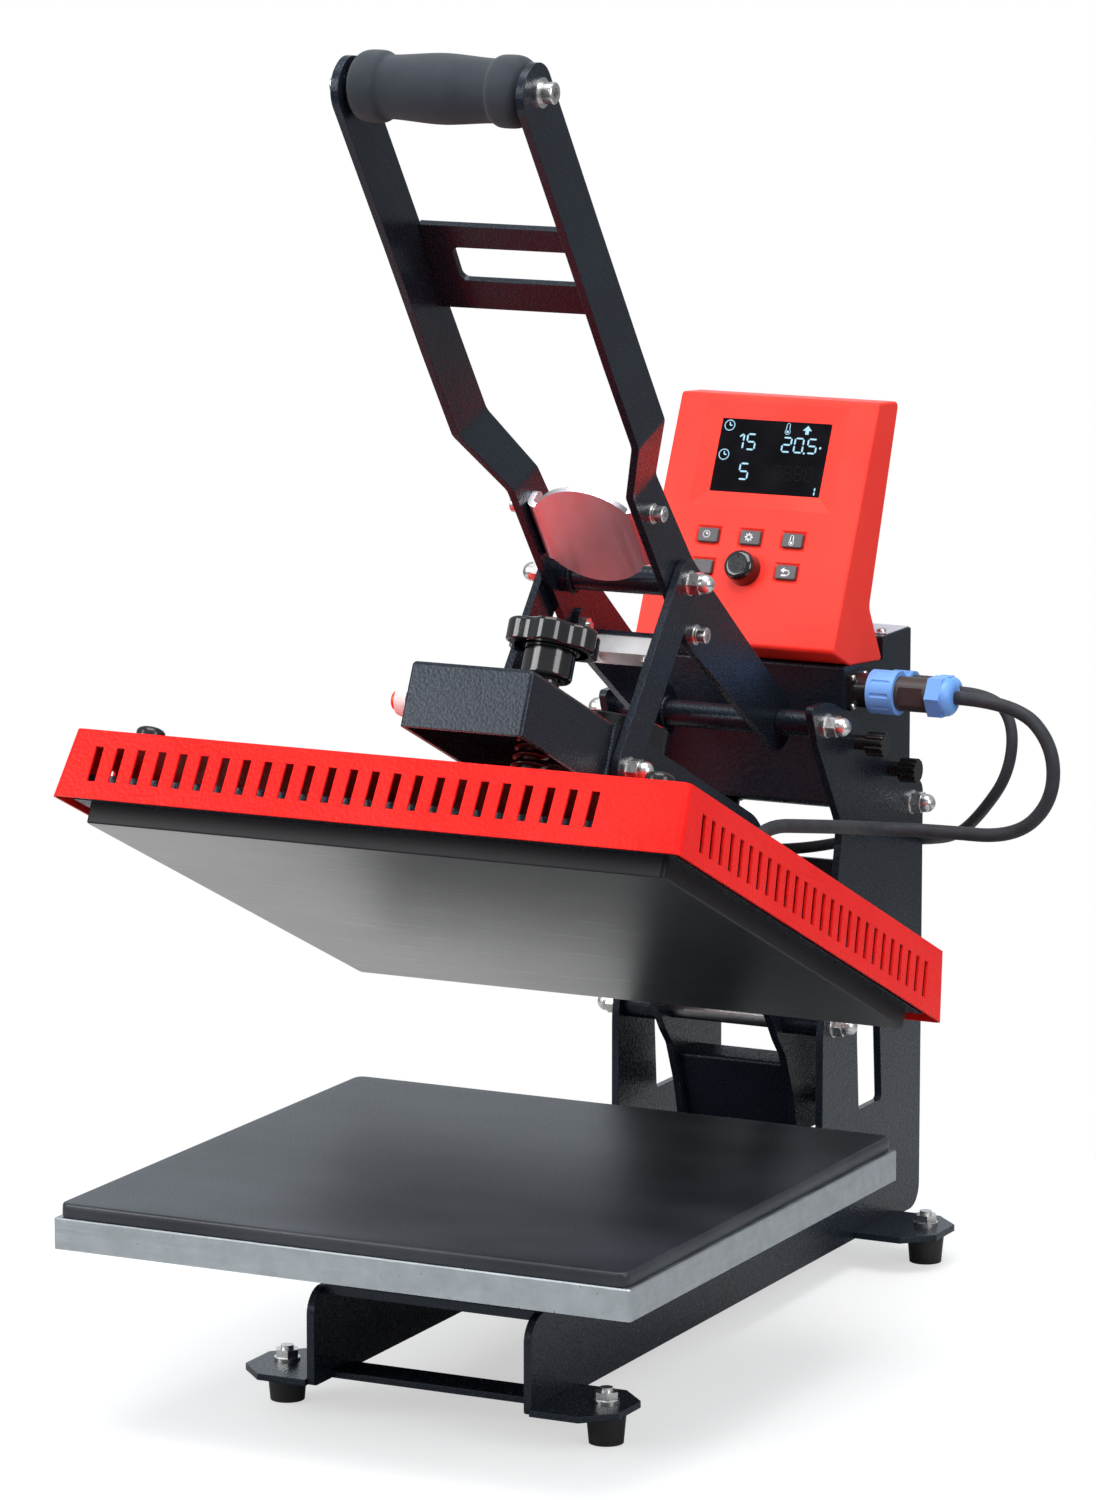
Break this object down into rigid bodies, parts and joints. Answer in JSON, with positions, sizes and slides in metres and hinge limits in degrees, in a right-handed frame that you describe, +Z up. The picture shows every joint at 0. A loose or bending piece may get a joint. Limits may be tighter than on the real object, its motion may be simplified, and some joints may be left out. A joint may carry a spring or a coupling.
{
  "type": "flat heat press",
  "caption": "Clamshell heat press: flat lower platen with foam pad, hinged red-covered heating head, lever handle with links, controller on a rear box, shown open.",
  "frame": {"origin": "centre of the overall box at floor level, under the machine", "axes": "+Z up, +Y towards the back, +X to the machine's right; it faces -Y"},
  "size_m": [0.419, 0.706, 0.822],
  "materials": {
    "black_powder": "fine textured powder coat",
    "red_powder": "fine textured powder coat",
    "red_plastic": "satin moulded plastic",
    "cast_aluminium": "cast and sawn",
    "ground_aluminium": "ground and brushed",
    "silicone_foam": "matte closed-cell foam",
    "grip_foam": "matte foam",
    "black_rubber": "matte",
    "zinc": "zinc plated",
    "stainless": "bright",
    "steel": "bare",
    "black_plastic": "satin",
    "blue_plastic": "satin",
    "dark_plastic": "satin",
    "red_button": "gloss",
    "white_plastic": "gloss",
    "display": "gloss black window",
    "insulation": "ceramic fibre board",
    "cable_jacket": "matte"
  },
  "bodies": {
    "frame": {"side_plate_left": "black_powder", "side_plate_right": "black_powder", "deck_plate": "black_powder", "platen_carrier": "black_powder", "rear_cross_panel": "black_powder", "front_foot_strip": "black_powder", "rear_foot_strip": "black_powder", "rubber_feet": "black_rubber", "foot_studs_and_nuts": "stainless", "lower_platen": "cast_aluminium", "foam_pad": "silicone_foam", "cross_shafts": "steel", "frame_cap_nuts": "stainless", "shaft_spacers": "black_powder", "electronics_box": "black_powder", "power_inlet": "black_plastic", "thumb_screws": "black_plastic", "controller_housing": "red_plastic", "display_window": "display", "cable_sockets": "black_plastic", "plug_rings_and_nuts": "blue_plastic", "plug_bodies": "dark_plastic", "head_cable_1": "cable_jacket", "head_cable_2": "cable_jacket"},
    "handle": {"handle_arm_left": "black_powder", "handle_arm_right": "black_powder", "handle_cross_tubes": "black_powder", "ladder_brace": "black_powder", "grip_foam": "grip_foam", "grip_tube_and_bolts": "stainless", "link_top_stud_and_nuts": "stainless", "armature_plate": "zinc", "handle_small_bolts": "stainless", "buffer_bar": "black_powder", "buffer_block": "ground_aluminium"},
    "links": {"pull_links": "black_powder", "link_foot_studs": "stainless"},
    "head_arm": {"head_arm_left": "black_powder", "head_arm_right": "black_powder", "head_channel": "black_powder", "arm_cross_panels": "black_powder", "electromagnet": "black_powder", "release_button_collar": "white_plastic"},
    "release_button": {"release_button": "red_button"},
    "wheel": {"hand_wheel": "black_plastic"},
    "heater": {"heater_cover": "red_powder", "heating_platen": "ground_aluminium", "heater_tray": "black_powder", "insulation_slab": "insulation", "pressure_spindle": "steel", "pressure_spring": "steel", "head_cable_glands": "black_plastic"},
    "gas_cylinders": {"gas_spring_cylinders": "black_powder"},
    "gas_rods": {"gas_spring_rods": "stainless"},
    "timer_key": {"timer_key": "black_plastic"},
    "settings_key": {"settings_key": "black_plastic"},
    "temperature_key": {"temperature_key": "black_plastic"},
    "lower_left_key": {"lower_left_key": "black_plastic"},
    "return_key": {"return_key": "black_plastic"},
    "knob": {"rotary_knob": "black_plastic"}
  },
  "joints": [
    {"name": "handle_lift", "type": "hinge", "parent": "frame", "child": "handle", "pos_m": [0, 0.1832, 0.3697], "axis": [1, 0, 0], "range_deg": [0, 53.65]},
    {"name": "head_tilt", "type": "hinge", "parent": "frame", "child": "head_arm", "pos_m": [0, 0.197, 0.1715], "axis": [1, 0, 0], "range_deg": [0, 24.4], "stiffness_Nm_per_rad": 40, "springref_deg": -91.67},
    {"name": "link_swing", "type": "hinge", "parent": "handle", "child": "links", "pos_m": [0, 0.0345, 0.4805], "axis": [1, 0, 0], "range_deg": [-77.41, 0]},
    {"name": "gas_spring_swing", "type": "hinge", "parent": "frame", "child": "gas_cylinders", "pos_m": [0, 0.3212, 0.2972], "axis": [1, 0, 0], "range_deg": [0, 2.95]},
    {"name": "gas_spring_stroke", "type": "slide", "parent": "gas_cylinders", "child": "gas_rods", "axis": [0, -0.3286, -0.9445], "range_m": [-0.03445, 0]},
    {"name": "head_height", "type": "slide", "parent": "head_arm", "child": "heater", "axis": [0, 0.4131, 0.9107], "range_m": [0, 0.006]},
    {"name": "wheel_turn", "type": "hinge", "parent": "head_arm", "child": "wheel", "pos_m": [0, -0.06683, 0.43228], "axis": [0, 0.4131, 0.9107], "range_deg": [0, 1234.3]},
    {"name": "release_push", "type": "slide", "parent": "head_arm", "child": "release_button", "axis": [1, 0, 0], "range_m": [0, 0.003], "stiffness_N_per_m": 600, "springref_m": -0.002},
    {"name": "knob_turn", "type": "hinge", "parent": "frame", "child": "knob", "pos_m": [-0.002, 0.22577, 0.45938], "axis": [0, -0.9053, 0.4249], "continuous": true},
    {"name": "timer_key_press", "type": "slide", "parent": "frame", "child": "timer_key", "axis": [0, 0.9053, -0.4249], "range_m": [0, 0.001], "stiffness_N_per_m": 1200, "springref_m": -0.0008},
    {"name": "settings_key_press", "type": "slide", "parent": "frame", "child": "settings_key", "axis": [0, 0.9053, -0.4249], "range_m": [0, 0.001], "stiffness_N_per_m": 1200, "springref_m": -0.0008},
    {"name": "temperature_key_press", "type": "slide", "parent": "frame", "child": "temperature_key", "axis": [0, 0.9053, -0.4249], "range_m": [0, 0.001], "stiffness_N_per_m": 1200, "springref_m": -0.0008},
    {"name": "lower_left_key_press", "type": "slide", "parent": "frame", "child": "lower_left_key", "axis": [0, 0.9053, -0.4249], "range_m": [0, 0.001], "stiffness_N_per_m": 1200, "springref_m": -0.0008},
    {"name": "return_key_press", "type": "slide", "parent": "frame", "child": "return_key", "axis": [0, 0.9053, -0.4249], "range_m": [0, 0.001], "stiffness_N_per_m": 1200, "springref_m": -0.0008}
  ],
  "couplings": [
    {"joint": "head_tilt", "follows": "handle_lift", "ratio": 0.45483},
    {"joint": "link_swing", "follows": "handle_lift", "ratio": -1.4429},
    {"joint": "gas_spring_swing", "follows": "handle_lift", "ratio": 0.05496},
    {"joint": "gas_spring_stroke", "follows": "handle_lift", "m_per_rad": -0.036787},
    {"joint": "wheel_turn", "follows": "head_height", "rad_per_m": 3590.4}
  ]
}
